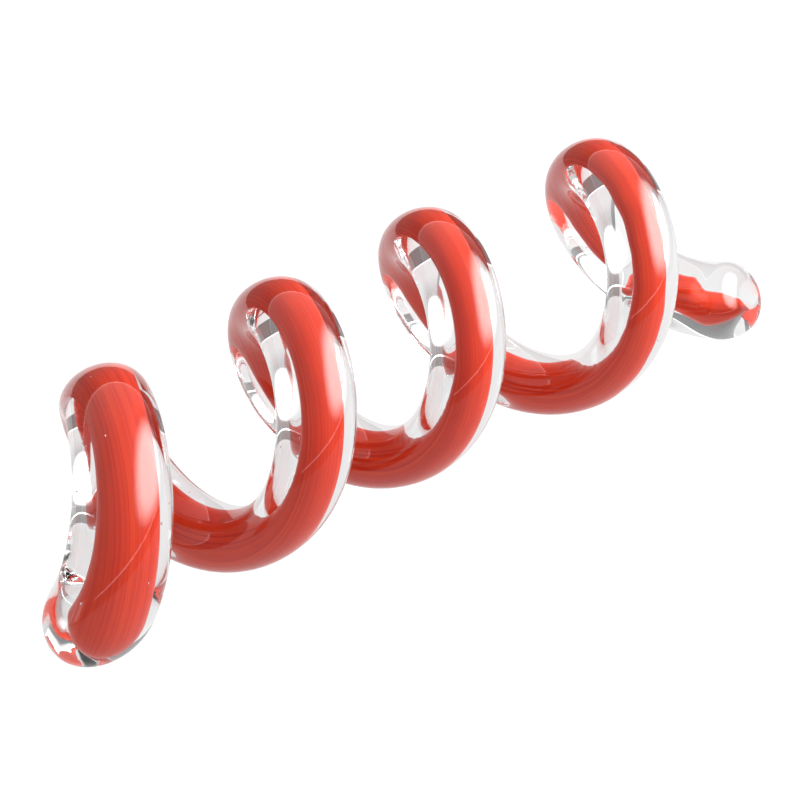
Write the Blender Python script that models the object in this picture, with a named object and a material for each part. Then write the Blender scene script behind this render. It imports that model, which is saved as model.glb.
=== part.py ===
"""Coiled glass rod: an opaque red glass core inside a clear glass casing, wound by hand into an open coil.

The coil's axis runs along +X and +Z is up. The coil lies on the polished undersides of its lowest turns.
An angle along the rod is 0 at the underside of the coil, 90 at the front (-Y), 180 at the top and
270 at the back, and it keeps growing turn after turn as the rod advances along +X.
Lengths are in metres and angles in degrees.
"""

import math

import bmesh
import bpy
from mathutils import Matrix, Vector

# The coil
PITCH = 0.0664  # advance along X in one turn
COIL_RADIUS = 0.0293  # from the coil's axis to the middle of the rod, at the undersides
START_ANGLE = 45.0
END_ANGLE = 1485.0
HALF_TURN = 180.0

# The rod was wound by hand: each half turn stands a little off a true helix.
START_DRIFT = 0.0076  # how much further out the rod starts
TOP_DRIFT = (-0.0035, 0.0019, 0.0042, 0.0053, 0.0165)  # how much further out each top stands
UNDERSIDE_LIFT = (0.0, 0.0030, 0.0, 0.0013)  # how far the underside after each top stands above the lowest
AXIAL_DRIFT = (-0.0049, 0.0046, -0.0019, 0.0019, -0.0086, -0.0069, -0.004, -0.0022, 0.0049, 0.011)

# The rod is oval: wide along the coil, thinner towards the coil's axis.
ROD_WIDTH = 0.0249
ROD_THICKNESS = 0.0189
START_SWELL = 0.62  # the rod is this share thicker where it starts
END_SWELL = 0.55  # and this share where it ends
SWELL_ANGLE = 59.0  # the swelling dies away over this angle
START_DOME = 27.0  # angle that the rounded start takes
END_DOME = 20.0  # angle that the rounded end takes
START_TIP = 0.1  # size of the last section of each dome, as a share of the rod
END_TIP = 0.35

# The core, and the channel that it lies in
CORE_WIDTH = 0.0115  # where the rod is not swollen
CORE_THICKNESS = 0.0090
CORE_SWELL = 0.63  # the core is this share thicker at the rod's start
CORE_SWELL_ANGLE = 97.0
CORE_THINNING = 0.25  # and has lost this share by the rod's end
CORE_OUTWARD = 0.0014  # from the middle of the rod to the middle of the core
CORE_SIDEWAYS = -0.0003
CORE_START_GAP = 10.0  # angle from the rod's start to the core's
CORE_END_GAP = 6.0
CORE_DOME = 14.0
CORE_TAIL = 36.0  # angle over which the core runs to a point
CORE_TIP = 0.1
CORE_CLEARANCE = 0.0003
MOUTH_WIDTH = 0.0030  # of the hole in the rounded end, where the channel opens

FLAT_DEPTH = 0.0006  # ground off the lowest undersides

# How finely the sections are cut
SECTION_STEP = 12.0
DOME_STEPS = 5
ROD_SIDES = 16
CORE_SIDES = 10

CLEAR_GLASS = (0.93, 0.95, 0.95, 1.0)
RED_GLASS = (0.72, 0.045, 0.03, 1.0)

UNDERSIDE = COIL_RADIUS + ROD_THICKNESS / 2
CORE_START = START_ANGLE + CORE_START_GAP
CORE_END = END_ANGLE - CORE_END_GAP


def smooth_between(values, angle):
    """A smooth curve through one value per half turn (Catmull-Rom)."""
    last = len(values) - 1
    place = min(max(angle / HALF_TURN, 0.0), last)
    i = min(int(place), last - 1)
    t = place - i
    before, here, there, after = values[max(i - 1, 0)], values[i], values[i + 1], values[min(i + 2, last)]
    slope_term = (there - before) * t
    square_term = (2 * before - 5 * here + 4 * there - after) * t**2
    cube_term = (3 * here - before - 3 * there + after) * t**3
    return here + (slope_term + square_term + cube_term) / 2


def swell(angle):
    """The rod's size at this angle, against its size in the middle of the coil."""
    from_start = math.exp((START_ANGLE - angle) / SWELL_ANGLE)
    from_end = math.exp((angle - END_ANGLE) / SWELL_ANGLE)
    return 1 + START_SWELL * from_start + END_SWELL * from_end


def half_turn_radii():
    """The rod's distance from the coil's axis at each half turn."""
    radii = []
    for half_turn in range(len(AXIAL_DRIFT)):
        if half_turn == 0:
            radii.append(COIL_RADIUS + START_DRIFT)
        elif half_turn % 2:
            radii.append(COIL_RADIUS + TOP_DRIFT[half_turn // 2])
        else:
            lowest = UNDERSIDE - ROD_THICKNESS / 2 * swell(half_turn * HALF_TURN)
            radii.append(lowest - UNDERSIDE_LIFT[half_turn // 2 - 1])
    return radii


RADII = half_turn_radii()


def rod_middle(angle):
    turn = math.radians(angle)
    radius = smooth_between(RADII, angle)
    along = PITCH * angle / 360 + smooth_between(AXIAL_DRIFT, angle)
    return Vector((along, -radius * math.sin(turn), -radius * math.cos(turn)))


def section_frame(angle):
    """The section's place: its X runs along the coil, its Y away from the axis, its Z along the rod."""
    turn = math.radians(angle)
    forward = (rod_middle(angle + 0.5) - rod_middle(angle - 0.5)).normalized()
    outward = Vector((0.0, -math.sin(turn), -math.cos(turn)))
    outward = (outward - forward * outward.dot(forward)).normalized()
    sideways = outward.cross(forward)
    frame = Matrix((sideways, outward, forward)).transposed().to_4x4()
    frame.translation = rod_middle(angle)
    return frame


def dome_angles(start, length, steps):
    """Angles that close in on start as the sections of a dome do."""
    return [start + length * (1 - math.cos(math.radians(90 * step / steps))) for step in range(steps)]


def section_angles(start, start_dome, end, end_dome):
    first, last = start + start_dome, end - end_dome
    count = round((last - first) / SECTION_STEP)
    body = [first + (last - first) * i / count for i in range(count + 1)]
    end_angles = [start + end - angle for angle in dome_angles(start, end_dome, DOME_STEPS)]
    return dome_angles(start, start_dome, DOME_STEPS) + body + end_angles[::-1]


def dome_share(distance, length, tip):
    """The size of a section this far into a dome, from tip at its end to 1 where it meets the rod."""
    rest = 1 - min(max(distance / length, 0.0), 1.0)
    return tip + (1 - tip) * math.sqrt(1 - rest**2)


def rod_size(angle):
    share = swell(angle)
    share *= dome_share(angle - START_ANGLE, START_DOME, START_TIP)
    share *= dome_share(END_ANGLE - angle, END_DOME, END_TIP)
    return ROD_WIDTH * share, ROD_THICKNESS * share


def core_size(angle):
    share = 1 + CORE_SWELL * math.exp((START_ANGLE - angle) / CORE_SWELL_ANGLE)
    share *= 1 - CORE_THINNING * (angle - START_ANGLE) / (END_ANGLE - START_ANGLE)
    share *= dome_share(angle - CORE_START, CORE_DOME, CORE_TIP)
    share *= min(1.0, CORE_TIP + (1 - CORE_TIP) * (CORE_END - angle) / CORE_TAIL)
    return CORE_WIDTH * share, CORE_THICKNESS * share


def channel_size(angle):
    """The core's size and its clearance, and past the core the hole through the rounded end."""
    nearest = min(max(angle, CORE_START), CORE_END)
    width, thickness = (size + 2 * CORE_CLEARANCE for size in core_size(nearest))
    if angle > CORE_END - CORE_TAIL:
        return max(width, MOUTH_WIDTH), max(thickness, MOUTH_WIDTH)
    return width, thickness


def sweep(name, angles, size, sides, outward=0.0, sideways=0.0):
    """A closed solid whose oval section follows the rod, from one angle to the next."""
    shape = bmesh.new()
    placed = None
    for angle in angles:
        width, thickness = size(angle)
        middle = section_frame(angle) @ Matrix.Translation((sideways, outward, 0.0))
        place = middle @ Matrix.Diagonal((width / 2, thickness / 2, 1.0, 1.0))
        if placed is None:
            ring = bmesh.ops.create_circle(shape, cap_ends=True, segments=sides, radius=1.0, matrix=place)["verts"]
            edges = shape.edges[:]
        else:
            grown = bmesh.ops.extrude_edge_only(shape, edges=edges)["geom"]
            ring = [part for part in grown if isinstance(part, bmesh.types.BMVert)]
            edges = [part for part in grown if isinstance(part, bmesh.types.BMEdge)]
            edges = [edge for edge in edges if edge.is_boundary]
            bmesh.ops.transform(shape, matrix=place @ placed.inverted(), verts=ring)
        placed = place
    bmesh.ops.holes_fill(shape, edges=edges, sides=sides)
    bmesh.ops.recalc_face_normals(shape, faces=shape.faces)
    mesh = bpy.data.meshes.new(name)
    shape.to_mesh(mesh)
    shape.free()
    return bpy.data.objects.new(name, mesh)


def glass(name, colour, roughness, transmission):
    material = bpy.data.materials.new(name)
    material.use_nodes = True
    shader = material.node_tree.nodes["Principled BSDF"]
    shader.inputs["Base Color"].default_value = colour
    shader.inputs["Roughness"].default_value = roughness
    shader.inputs["Metallic"].default_value = 0.0
    shader.inputs["Transmission Weight"].default_value = transmission
    material.diffuse_color = colour
    return material


def cut(piece, cutter):
    boolean = piece.modifiers.new("cut_" + cutter.name, "BOOLEAN")
    boolean.operation = "DIFFERENCE"
    boolean.solver = "EXACT"
    boolean.object = cutter


def make_casing(parts, cutters):
    casing = sweep("casing", section_angles(START_ANGLE, START_DOME, END_ANGLE, END_DOME), rod_size, ROD_SIDES)
    casing.data.materials.append(glass("clear_glass", CLEAR_GLASS, 0.02, 1.0))
    casing.data.shade_smooth()
    parts.objects.link(casing)
    for cutter in (make_channel(), make_grinding_block()):
        cutter.hide_render = True
        cutter.display_type = "WIRE"
        cutters.objects.link(cutter)
        cut(casing, cutter)
    return casing


def make_channel():
    """The space for the core: closed at the start, open at the rounded end."""
    angles = section_angles(CORE_START, CORE_DOME, CORE_END, CORE_END_GAP)
    start = CORE_START - math.degrees(CORE_CLEARANCE / smooth_between(RADII, CORE_START))
    past_the_end = END_ANGLE + END_DOME
    angles = [start] + angles + [past_the_end]
    return sweep("channel", angles, channel_size, CORE_SIDES, CORE_OUTWARD, CORE_SIDEWAYS)


def make_grinding_block():
    """Everything below the plane that the undersides are ground down to."""
    block = bpy.data.meshes.new("grinding_block")
    shape = bmesh.new()
    length = PITCH * END_ANGLE / 360 + 4 * ROD_WIDTH
    height = UNDERSIDE
    size = Matrix.Diagonal((length, 4 * UNDERSIDE, height, 1.0))
    top = FLAT_DEPTH - UNDERSIDE
    middle = Vector((length / 2 - 2 * ROD_WIDTH, 0.0, top - height / 2))
    bmesh.ops.create_cube(shape, size=1.0, matrix=Matrix.Translation(middle) @ size)
    shape.to_mesh(block)
    shape.free()
    return bpy.data.objects.new("grinding_block", block)


def make_core(parts):
    angles = section_angles(CORE_START, CORE_DOME, CORE_END, CORE_END_GAP)
    core = sweep("core", angles, core_size, CORE_SIDES, CORE_OUTWARD, CORE_SIDEWAYS)
    core.data.materials.append(glass("red_glass", RED_GLASS, 0.15, 0.0))
    core.data.shade_smooth()
    parts.objects.link(core)
    return core


def stand_on_origin(casing, pieces):
    """Puts the ground undersides at Z = 0 and the middle of the casing over the origin."""
    corners = [vertex.co for vertex in casing.data.vertices]
    middle = [(min(c[i] for c in corners) + max(c[i] for c in corners)) / 2 for i in (0, 1)]
    for piece in pieces:
        piece.location = Vector((-middle[0], -middle[1], UNDERSIDE - FLAT_DEPTH))


def new_collection(name):
    collection = bpy.data.collections.new(name)
    bpy.context.scene.collection.children.link(collection)
    return collection


def main():
    for old in list(bpy.data.objects):
        bpy.data.objects.remove(old, do_unlink=True)
    parts = new_collection("coiled_glass_rod")
    cutters = new_collection("cutters")
    casing = make_casing(parts, cutters)
    core = make_core(parts)
    stand_on_origin(casing, [casing, core] + list(cutters.objects))


main()
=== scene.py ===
import math
import random

import bmesh
import bpy
from mathutils import Matrix, Vector, noise


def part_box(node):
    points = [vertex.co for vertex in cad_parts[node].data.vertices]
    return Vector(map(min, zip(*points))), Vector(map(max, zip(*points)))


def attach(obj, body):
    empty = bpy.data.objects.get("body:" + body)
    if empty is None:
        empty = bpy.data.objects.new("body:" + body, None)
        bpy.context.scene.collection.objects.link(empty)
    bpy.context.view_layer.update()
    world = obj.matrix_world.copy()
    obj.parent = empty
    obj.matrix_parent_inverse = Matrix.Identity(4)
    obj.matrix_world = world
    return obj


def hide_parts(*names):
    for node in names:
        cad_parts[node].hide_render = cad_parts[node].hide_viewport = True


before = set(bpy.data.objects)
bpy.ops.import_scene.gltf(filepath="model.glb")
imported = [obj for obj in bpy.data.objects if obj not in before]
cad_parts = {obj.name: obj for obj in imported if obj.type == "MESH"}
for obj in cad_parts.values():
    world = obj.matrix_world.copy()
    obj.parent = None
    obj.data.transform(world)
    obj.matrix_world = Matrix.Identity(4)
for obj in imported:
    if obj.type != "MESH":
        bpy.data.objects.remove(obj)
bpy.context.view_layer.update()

# Metres and degrees. The coil's axis runs along +X, -Y is the front and the undersides rest on Z = 0.
# An angle along the rod is 0 at the underside, 90 at the front, 180 at the top, and grows turn after turn.


# the coil's shape, as it was wound
coil = {
    "pitch": 0.0664,
    "radius": 0.0293,  # to the middle of the rod, at the undersides
    "start": 45.0,
    "end": 1485.0,
    "startDrift": 0.0076,
    "topDrift": (-0.0035, 0.0019, 0.0042, 0.0053, 0.0165),
    "undersideLift": (0.0, 0.0030, 0.0, 0.0013),
    "axialDrift": (-0.0049, 0.0046, -0.0019, 0.0019, -0.0086, -0.0069, -0.004, -0.0022, 0.0049, 0.011),
    "width": 0.0249,
    "thickness": 0.0189,
    "startSwell": 0.62,
    "endSwell": 0.55,
    "swellAngle": 59.0,
    "flatDepth": 0.0006,  # ground off the undersides
}
underside = coil["radius"] + coil["thickness"] / 2


def smoothBetween(values, angle):
    last = len(values) - 1
    place = min(max(angle / 180, 0.0), last)
    i = min(int(place), last - 1)
    t = place - i
    before, here, there, after = values[max(i - 1, 0)], values[i], values[i + 1], values[min(i + 2, last)]
    bend = (2 * before - 5 * here + 4 * there - after) * t**2 + (3 * here - before - 3 * there + after) * t**3
    return here + ((there - before) * t + bend) / 2


def swell(angle):
    fromStart = math.exp((coil["start"] - angle) / coil["swellAngle"])
    fromEnd = math.exp((angle - coil["end"]) / coil["swellAngle"])
    return 1 + coil["startSwell"] * fromStart + coil["endSwell"] * fromEnd


def halfTurnRadii():
    radii = [coil["radius"] + coil["startDrift"]]
    for halfTurn in range(1, len(coil["axialDrift"])):
        if halfTurn % 2:
            radii.append(coil["radius"] + coil["topDrift"][halfTurn // 2])
        else:
            lowest = underside - coil["thickness"] / 2 * swell(halfTurn * 180)
            radii.append(lowest - coil["undersideLift"][halfTurn // 2 - 1])
    return radii


radii = halfTurnRadii()


def rodMiddle(angle):
    turn = math.radians(angle)
    radius = smoothBetween(radii, angle)
    along = coil["pitch"] * angle / 360 + smoothBetween(coil["axialDrift"], angle)
    return Vector((along, -radius * math.sin(turn), -radius * math.cos(turn)))


def sectionFrame(angle):
    # X along the coil, Y away from its axis, Z along the rod
    turn = math.radians(angle)
    forward = (rodMiddle(angle + 0.5) - rodMiddle(angle - 0.5)).normalized()
    outward = Vector((0.0, -math.sin(turn), -math.cos(turn)))
    outward = (outward - forward * outward.dot(forward)).normalized()
    section = Matrix((outward.cross(forward), outward, forward)).transposed().to_4x4()
    section.translation = rodMiddle(angle)
    return section


def domeShare(distance, length, tip):
    rest = 1 - min(max(distance / length, 0.0), 1.0)
    return tip + (1 - tip) * math.sqrt(1 - rest**2)


def domeAngles(start, length, steps):
    return [start + length * (1 - math.cos(math.radians(90 * step / steps))) for step in range(steps)]


def sectionAngles(start, startDome, end, endDome, step, domeSteps):
    first, last = start + startDome, end - endDome
    count = round((last - first) / step)
    body = [first + (last - first) * i / count for i in range(count + 1)]
    endAngles = [start + end - angle for angle in domeAngles(start, endDome, domeSteps)]
    return domeAngles(start, startDome, domeSteps) + body + endAngles[::-1]


def sweepRod(angles, size, sides, shift, relief):
    # a ring of verts, grown section by section
    # "rodPlace" keeps (turns, sideways, outward) for the patterns in the glass
    bm = bmesh.new()
    rodPlace = bm.verts.layers.float_vector.new("rodPlace")
    reliefs = []
    placed = None
    for angle in angles:
        width, thickness = size(angle)
        sideways, outward = shift(angle)
        place = sectionFrame(angle) @ Matrix.Translation((sideways, outward, 0.0))
        place = place @ Matrix.Diagonal((width / 2, thickness / 2, 1.0, 1.0))
        if placed is None:
            circle = bmesh.ops.create_circle(bm, cap_ends=True, segments=sides, radius=1.0, matrix=place)
            ring = circle["verts"]
            edges = bm.edges[:]
        else:
            grown = bmesh.ops.extrude_edge_only(bm, edges=edges)["geom"]
            ring = [part for part in grown if isinstance(part, bmesh.types.BMVert)]
            edges = [part for part in grown if isinstance(part, bmesh.types.BMEdge) and part.is_boundary]
            bmesh.ops.transform(bm, matrix=place @ placed.inverted(), verts=ring)
        back = place.inverted()
        for vert in ring:
            local = back @ vert.co
            vert[rodPlace] = (angle / 360, local.x, local.y)
            reliefs.append((vert, place.to_3x3() @ relief(angle, local)))
        placed = place
    bmesh.ops.holes_fill(bm, edges=edges, sides=sides)
    for vert, move in reliefs:
        vert.co += move
    bmesh.ops.recalc_face_normals(bm, faces=bm.faces)
    return bm


def addPiece(name, bm, material):
    mesh = bpy.data.meshes.new(name)
    bm.to_mesh(mesh)
    bm.free()
    mesh.materials.append(material)
    mesh.shade_smooth()
    piece = bpy.data.objects.new(name, mesh)
    bpy.context.scene.collection.objects.link(piece)
    return piece


def newGlass(name, **sockets):
    material = bpy.data.materials.new(name)
    material.use_nodes = True
    shader = material.node_tree.nodes["Principled BSDF"]
    for socket, value in sockets.items():
        shader.inputs[socket.replace("_", " ")].default_value = value
    return material, shader


casing = {
    "startDome": 27.0,
    "endDome": 20.0,
    "startTip": 0.1,
    "endTip": 0.35,
    "step": 3.5,
    "domeSteps": 14,
    "sides": 44,
    "tint": (0.95, 0.955, 0.96, 1.0),
    "ior": 1.5,
    "flowLength": 26.0,
    "flowHeight": 0.006,
    "sharpFrom": 30.0,  # the rims of the ground flats stay crisp
}


def casingSize(angle):
    share = swell(angle)
    share *= domeShare(angle - coil["start"], casing["startDome"], casing["startTip"])
    share *= domeShare(coil["end"] - angle, casing["endDome"], casing["endTip"])
    return coil["width"] * share, coil["thickness"] * share


def casingShift(angle):
    return 0.0, 0.0


def casingFlow(angle, local):
    # the surface flows a little, as hot glass does
    flow = noise.noise(Vector((angle / casing["flowLength"], local.x, local.y)))
    return Vector((local.x, local.y, 0.0)) * flow * casing["flowHeight"]


def makeClearGlass():
    material, shader = newGlass("clearGlass", Base_Color=casing["tint"], Roughness=0.0, IOR=casing["ior"])
    shader.inputs["Transmission Weight"].default_value = 1.0
    return material


def makeCasing():
    startDome, endDome = casing["startDome"], casing["endDome"]
    steps = casing["step"], casing["domeSteps"]
    angles = sectionAngles(coil["start"], startDome, coil["end"], endDome, *steps)
    bm = sweepRod(angles, casingSize, casing["sides"], casingShift, casingFlow)
    lows = [min(vert.co[axis] for vert in bm.verts) for axis in (0, 1)]
    highs = [max(vert.co[axis] for vert in bm.verts) for axis in (0, 1)]
    everything = bm.verts[:] + bm.edges[:] + bm.faces[:]
    ground = coil["flatDepth"] - underside
    bmesh.ops.bisect_plane(
        bm, geom=everything, plane_co=(0, 0, ground), plane_no=(0, 0, -1), clear_outer=True
    )
    rims = [edge for edge in bm.edges if edge.is_boundary]
    bmesh.ops.holes_fill(bm, edges=rims, sides=0)
    low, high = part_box("casing")
    middle = (low + high) / 2
    shift = Vector((middle.x - (lows[0] + highs[0]) / 2, middle.y - (lows[1] + highs[1]) / 2, low.z - ground))
    bmesh.ops.translate(bm, vec=shift, verts=bm.verts)
    piece = addPiece("clearCasing", bm, makeClearGlass())
    piece.data.set_sharp_from_angle(angle=math.radians(casing["sharpFrom"]))
    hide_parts("casing")
    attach(piece, "root")
    return shift


standing = makeCasing()
print("clear casing done")


core = {
    "width": 0.0115,
    "thickness": 0.0090,
    "swell": 0.63,
    "swellAngle": 97.0,
    "thinning": 0.25,
    "outward": 0.0014,
    "sideways": -0.0003,
    "startGap": 10.0,
    "endGap": 6.0,
    "dome": 14.0,
    "tail": 30.0,
    "tip": 0.1,
    "step": 1.2,
    "sides": 28,
    "endCap": 3.0,
    "waveStart": 960.0,  # from here to the end the edges grow wavy
    "waveGrowth": 240.0,
    "waveLength": 11.0,
    "waveHeight": 0.07,
    "ribLength": 1.7,  # fine ribs on the side towards the axis
    "ribHeight": 0.05,
    "ribsFrom": -0.45,  # share of the half thickness, where they begin
    "ribsAfter": (40.0, 100.0),  # past the start of the core, none before and all of them after
    "colour": (0.89, 0.060, 0.012, 1.0),
    "darkColour": (0.70, 0.018, 0.008, 1.0),
    "roughness": 0.32,
    "gloss": 0.15,  # weak, because clear glass lies right on it
    "streakLength": 0.7,  # changes of colour a turn
    "streaksAround": 15.0,
    "streakShares": (0.30, 0.62),  # of the noise, from the dark colour to the bright one
}
core["start"] = coil["start"] + core["startGap"]
core["end"] = coil["end"] - core["endGap"]


def coreSize(angle):
    share = 1 + core["swell"] * math.exp((coil["start"] - angle) / core["swellAngle"])
    share *= 1 - core["thinning"] * (angle - coil["start"]) / (coil["end"] - coil["start"])
    share *= domeShare(angle - core["start"], core["dome"], core["tip"])
    share *= tailShare(angle)
    growth = min(max((angle - core["waveStart"]) / core["waveGrowth"], 0.0), 1.0)
    wave = core["waveHeight"] * growth * noise.noise(Vector((angle / core["waveLength"], 0.0, 0.0)))
    return core["width"] * share * (1 + wave), core["thickness"] * share


def tailShare(angle):
    return min(1.0, core["tip"] + (1 - core["tip"]) * (core["end"] - angle) / core["tail"])


def coreShift(angle):
    # the tail narrows from the side towards the axis, so its point lies outward
    spare = core["thickness"] * (1 - core["thinning"]) / 2 * (1 - tailShare(angle))
    return core["sideways"], core["outward"] + spare


def coreRibs(angle, local):
    inner = min(max(core["ribsFrom"] - local.y, 0.0) * 3, 1.0)
    none, full = core["ribsAfter"]
    inner *= min(max((angle - core["start"] - none) / (full - none), 0.0), 1.0)
    rib = noise.noise(Vector((angle / core["ribLength"], local.x * 2, 7.0)))
    return Vector((local.x, local.y, 0.0)) * inner * rib * core["ribHeight"]


def makeRedGlass():
    material, shader = newGlass(
        "redGlass", Roughness=core["roughness"], IOR=casing["ior"], Specular_IOR_Level=core["gloss"]
    )
    nodes, links = material.node_tree.nodes, material.node_tree.links
    place = nodes.new("ShaderNodeAttribute")
    place.attribute_name = "rodPlace"
    stretch = nodes.new("ShaderNodeMapping")
    along, around = core["streakLength"], core["streaksAround"]
    stretch.inputs["Scale"].default_value = (along, around, around)
    streaks = nodes.new("ShaderNodeTexNoise")
    streaks.inputs["Scale"].default_value = 1.0
    streaks.inputs["Detail"].default_value = 4.0
    streaks.inputs["Roughness"].default_value = 0.6
    ramp = nodes.new("ShaderNodeValToRGB")
    for stop, share, colour in zip(
        ramp.color_ramp.elements, core["streakShares"], (core["darkColour"], core["colour"])
    ):
        stop.position, stop.color = share, colour
    links.new(place.outputs["Vector"], stretch.inputs["Vector"])
    links.new(stretch.outputs["Vector"], streaks.inputs["Vector"])
    links.new(streaks.outputs["Fac"], ramp.inputs["Fac"])
    links.new(ramp.outputs["Color"], shader.inputs["Base Color"])
    return material


def makeCore():
    angles = sectionAngles(core["start"], core["dome"], core["end"], core["endCap"], core["step"], 8)
    bm = sweepRod(angles, coreSize, core["sides"], coreShift, coreRibs)
    bmesh.ops.translate(bm, vec=standing, verts=bm.verts)
    piece = addPiece("redCore", bm, makeRedGlass())
    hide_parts("core")
    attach(piece, "root")


makeCore()
print("red core done")


# the few small bubbles in the clear glass
bubbles = {
    "count": 46,
    "seed": 4,
    "least": 0.00010,  # radius
    "most": 0.00024,
    "depth": (0.66, 0.86),  # from the middle of the rod to its surface
    "drawnOut": (1.0, 2.2),  # length over width, along the rod
    "colour": (0.95, 0.93, 0.93, 1.0),
}


def makeBubbles():
    dice = random.Random(bubbles["seed"])
    bm = bmesh.new()
    for _ in range(bubbles["count"]):
        angle = dice.uniform(core["start"] + 10, core["end"] - 10)
        around = dice.uniform(0.0, 2 * math.pi)
        depth = dice.uniform(*bubbles["depth"])
        width, thickness = casingSize(angle)
        spot = Vector((math.cos(around) * depth * width / 2, math.sin(around) * depth * thickness / 2, 0.0))
        size = dice.uniform(bubbles["least"], bubbles["most"])
        place = Matrix.Translation(standing) @ sectionFrame(angle) @ Matrix.Translation(spot)
        place = place @ Matrix.Diagonal((1.0, 1.0, dice.uniform(*bubbles["drawnOut"]), 1.0))
        bmesh.ops.create_icosphere(bm, subdivisions=2, radius=size, matrix=place)
    seed = newGlass("seedBubbles", Base_Color=bubbles["colour"], Roughness=0.12, Metallic=0.85)[0]
    piece = addPiece("seedBubbles", bm, seed)
    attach(piece, "root")


makeBubbles()
print("bubbles done")


view = {
    "azimuth": -38.38,
    "elevation": 34.35,
    "distance": 0.69114,
    "target": 2.0,  # turns along the coil's axis
    "lens": 100.04,
    "shift": (0.03075, -0.0349),
}


def towards(azimuth, elevation):
    # azimuth 0 is the front (-Y), 90 is +X
    turn, lift = math.radians(azimuth), math.radians(elevation)
    return Vector((math.sin(turn) * math.cos(lift), -math.cos(turn) * math.cos(lift), math.sin(lift)))


def makeCamera():
    camera = bpy.data.objects.new("camera", bpy.data.cameras.new("camera"))
    bpy.context.scene.collection.objects.link(camera)
    back = towards(view["azimuth"], view["elevation"])
    target = Vector((coil["pitch"] * view["target"], 0.0, 0.0)) + standing
    camera.location = target + back * view["distance"]
    camera.rotation_euler = back.to_track_quat("Z", "Y").to_euler()
    camera.data.sensor_width = 36.0
    camera.data.lens = view["lens"]
    camera.data.shift_x, camera.data.shift_y = view["shift"]
    camera.data.clip_start = 0.01
    bpy.context.scene.camera = camera


studio = {
    "reach": 1.0,  # from the coil to each light
    "lightAim": 0.04,  # the height that the lights point at
    "bounces": 28,  # light crosses the clear glass many times
    "floorSide": 1.1,
    "floorGap": 0.0003,  # the floor lies this far under the flats
    "floorShown": 1.05,
    "floorGlow": 0.85,  # painted light: the glow the glass sees of the floor behind the coil
    "paintedFloorLightFade": (-0.20, 0.10),  # painted light: along Y, the floor's glow as the glass sees it, from the dim front of the floor to its bright back
    "floorDim": 0.62,
    "frontSky": (0.34, 0.70),  # from the horizon to overhead
    "backSky": 0.88,
    "backWall": 0.26,  # brightness of the wall behind, as a share of the sky over it
    "backWallRise": 0.55,  # the wall's height over its distance
    "backWallEdge": 2.2,  # a brighter line along the wall's top
    "softEdge": 0.60,  # share of a soft light's half width over which it fades
    "softboxes": [
        # name, azimuth, elevation, degrees wide, degrees high, radiance, soft edges
        ("softbox", 61.0, 31.0, 76.0, 60.0, 11.0, True),
        ("windowLeft", -71.0, 3.0, 4.5, 9.0, 1.6, False),
        ("windowRight", -62.0, 3.0, 7.0, 9.0, 1.6, False),
        ("frontStrip", 10.0, 6.5, 100.0, 1.6, 2.6, False),
    ],
}


def softenEdges(lamp):
    # brightest in the middle and fading to nothing at the sides
    lamp.use_nodes = True
    nodes, links = lamp.node_tree.nodes, lamp.node_tree.links
    face = nodes.new("ShaderNodeNewGeometry")
    centred = nodes.new("ShaderNodeMapping")
    centred.inputs["Location"].default_value = (-1.0, -1.0, 0.0)
    centred.inputs["Scale"].default_value = (2.0, 2.0, 0.0)
    fromMiddle = nodes.new("ShaderNodeTexGradient")
    fromMiddle.gradient_type = "SPHERICAL"
    fade = nodes.new("ShaderNodeMapRange")
    fade.interpolation_type = "SMOOTHSTEP"
    fade.inputs["From Max"].default_value = studio["softEdge"]
    links.new(face.outputs["Parametric"], centred.inputs["Vector"])
    links.new(centred.outputs["Vector"], fromMiddle.inputs["Vector"])
    links.new(fromMiddle.outputs["Fac"], fade.inputs["Value"])
    links.new(fade.outputs["Result"], nodes["Emission"].inputs["Strength"])


def makeSoftbox(name, azimuth, elevation, wide, high, radiance, soft):
    width = 2 * studio["reach"] * math.tan(math.radians(wide / 2))
    height = 2 * studio["reach"] * math.tan(math.radians(high / 2))
    lamp = bpy.data.lights.new(name, "AREA")
    lamp.shape = "RECTANGLE"
    lamp.size, lamp.size_y = width, height
    lamp.energy = radiance * math.pi * width * height
    light = bpy.data.objects.new(name, lamp)
    bpy.context.scene.collection.objects.link(light)
    back = towards(azimuth, elevation)
    light.location = back * studio["reach"] + Vector((0.0, 0.0, studio["lightAim"]))
    light.rotation_euler = back.to_track_quat("Z", "Y").to_euler()
    light.visible_camera = False
    if soft:
        softenEdges(lamp)


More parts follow.
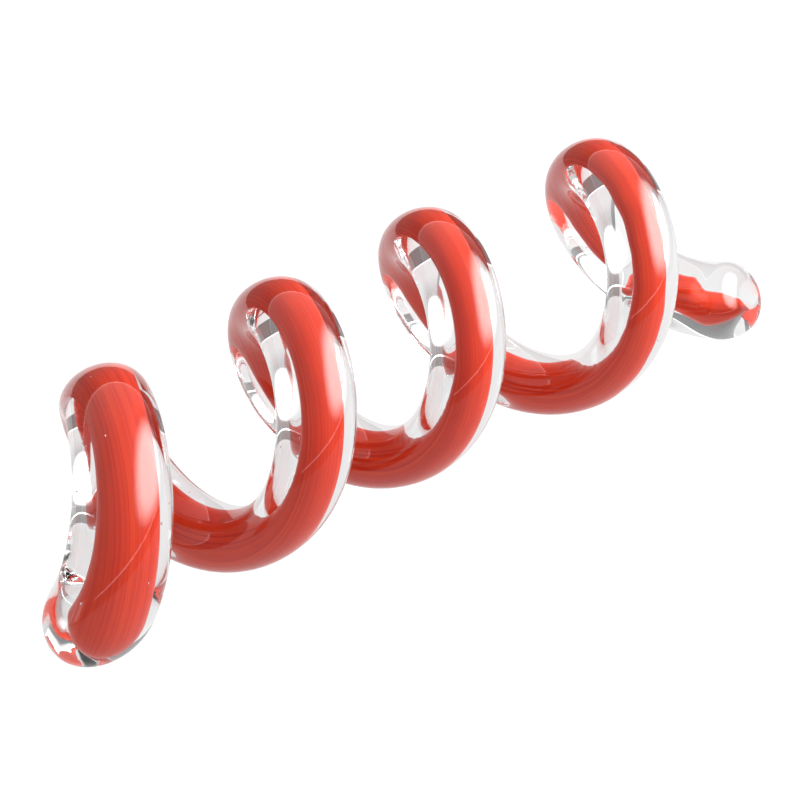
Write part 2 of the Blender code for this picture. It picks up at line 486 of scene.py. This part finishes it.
def makeWorld():
    world = bpy.data.worlds.new("studio")
    bpy.context.scene.world = world
    world.use_nodes = True
    nodes, links = world.node_tree.nodes, world.node_tree.links
    direction = nodes.new("ShaderNodeTexCoord")
    split = nodes.new("ShaderNodeSeparateXYZ")
    links.new(direction.outputs["Generated"], split.inputs[0])
    frontSky = nodes.new("ShaderNodeMapRange")
    frontSky.inputs["To Min"].default_value, frontSky.inputs["To Max"].default_value = studio["frontSky"]
    links.new(split.outputs["Z"], frontSky.inputs["Value"])
    behind = nodes.new("ShaderNodeMapRange")
    behind.interpolation_type = "SMOOTHSTEP"
    behind.inputs["From Max"].default_value = 0.5
    links.new(split.outputs["Y"], behind.inputs["Value"])
    sky = nodes.new("ShaderNodeMix")
    sky.inputs["B"].default_value = studio["backSky"]
    links.new(behind.outputs["Result"], sky.inputs["Factor"])
    links.new(frontSky.outputs["Result"], sky.inputs["A"])
    aboveWall = nodes.new("ShaderNodeMath")
    aboveWall.operation = "MULTIPLY_ADD"
    aboveWall.inputs[1].default_value = -studio["backWallRise"]
    links.new(split.outputs["Y"], aboveWall.inputs[0])
    links.new(split.outputs["Z"], aboveWall.inputs[2])
    wallTop = nodes.new("ShaderNodeMapRange")
    wallTop.inputs["From Min"].default_value = -1.0
    links.new(aboveWall.outputs[0], wallTop.inputs["Value"])
    ramp = nodes.new("ShaderNodeValToRGB")
    links.new(wallTop.outputs["Result"], ramp.inputs["Fac"])
    wall, edge = studio["backWall"], studio["backWallEdge"]
    ramp.color_ramp.elements[0].position = 0.496
    ramp.color_ramp.elements[0].color = (wall, wall, wall, 1.0)
    ramp.color_ramp.elements[1].position = 0.516
    for position in (0.5, 0.512):
        ramp.color_ramp.elements.new(position).color = (edge, edge, edge, 1.0)
    light = nodes.new("ShaderNodeMath")
    light.operation = "MULTIPLY"
    links.new(sky.outputs["Result"], light.inputs[0])
    links.new(ramp.outputs["Color"], light.inputs[1])
    lit = nodes["Background"]
    lit.inputs["Color"].default_value = (1.0, 1.0, 1.0, 1.0)
    links.new(light.outputs[0], lit.inputs["Strength"])
    pale = nodes.new("ShaderNodeBackground")
    pale.inputs["Color"].default_value = (1.0, 1.0, 1.0, 1.0)
    path = nodes.new("ShaderNodeLightPath")
    mix = nodes.new("ShaderNodeMixShader")
    links.new(path.outputs["Is Camera Ray"], mix.inputs["Fac"])
    links.new(lit.outputs[0], mix.inputs[1])
    links.new(pale.outputs[0], mix.inputs[2])
    links.new(mix.outputs[0], nodes["World Output"].inputs["Surface"])


def makePaleFloor():
    # pale all over as it is seen; as the glass sees it, its glow is painted light, dim at the front and
    # bright at the back, as if lit from behind
    grey = (0.05, 0.05, 0.05, 1.0)
    white = (1.0, 1.0, 1.0, 1.0)
    material, shader = newGlass("paleFloor", Base_Color=grey, Roughness=0.9, Emission_Color=white)
    nodes, links = material.node_tree.nodes, material.node_tree.links
    place = nodes.new("ShaderNodeTexCoord")
    split = nodes.new("ShaderNodeSeparateXYZ")
    # painted light: the glow the glass sees rises along Y from the dim front to the bright back
    fade = nodes.new("ShaderNodeMapRange")
    fade.interpolation_type = "SMOOTHSTEP"
    fade.inputs["From Min"].default_value, fade.inputs["From Max"].default_value = studio["paintedFloorLightFade"]
    fade.inputs["To Min"].default_value = studio["floorDim"]
    fade.inputs["To Max"].default_value = studio["floorGlow"]
    path = nodes.new("ShaderNodeLightPath")
    shown = nodes.new("ShaderNodeMix")
    shown.inputs["B"].default_value = studio["floorShown"]
    links.new(place.outputs["Object"], split.inputs[0])
    links.new(split.outputs["Y"], fade.inputs["Value"])
    links.new(fade.outputs["Result"], shown.inputs["A"])
    links.new(path.outputs["Is Camera Ray"], shown.inputs["Factor"])
    links.new(shown.outputs["Result"], shader.inputs["Emission Strength"])
    return material


def makeFloor():
    bm = bmesh.new()
    bmesh.ops.create_grid(bm, x_segments=1, y_segments=1, size=studio["floorSide"] / 2)
    bmesh.ops.translate(bm, vec=(0.0, 0.0, -studio["floorGap"]), verts=bm.verts)
    mesh = bpy.data.meshes.new("floor")
    bm.to_mesh(mesh)
    bm.free()
    mesh.materials.append(makePaleFloor())
    floor = bpy.data.objects.new("floor", mesh)
    bpy.context.scene.collection.objects.link(floor)


makeCamera()
for softbox in studio["softboxes"]:
    makeSoftbox(*softbox)
makeWorld()
makeFloor()
bpy.context.scene.view_settings.view_transform = "Standard"
bpy.context.scene.cycles.max_bounces = studio["bounces"]
bpy.context.scene.cycles.transmission_bounces = studio["bounces"]
bpy.context.scene.cycles.glossy_bounces = studio["bounces"]
print("studio done")
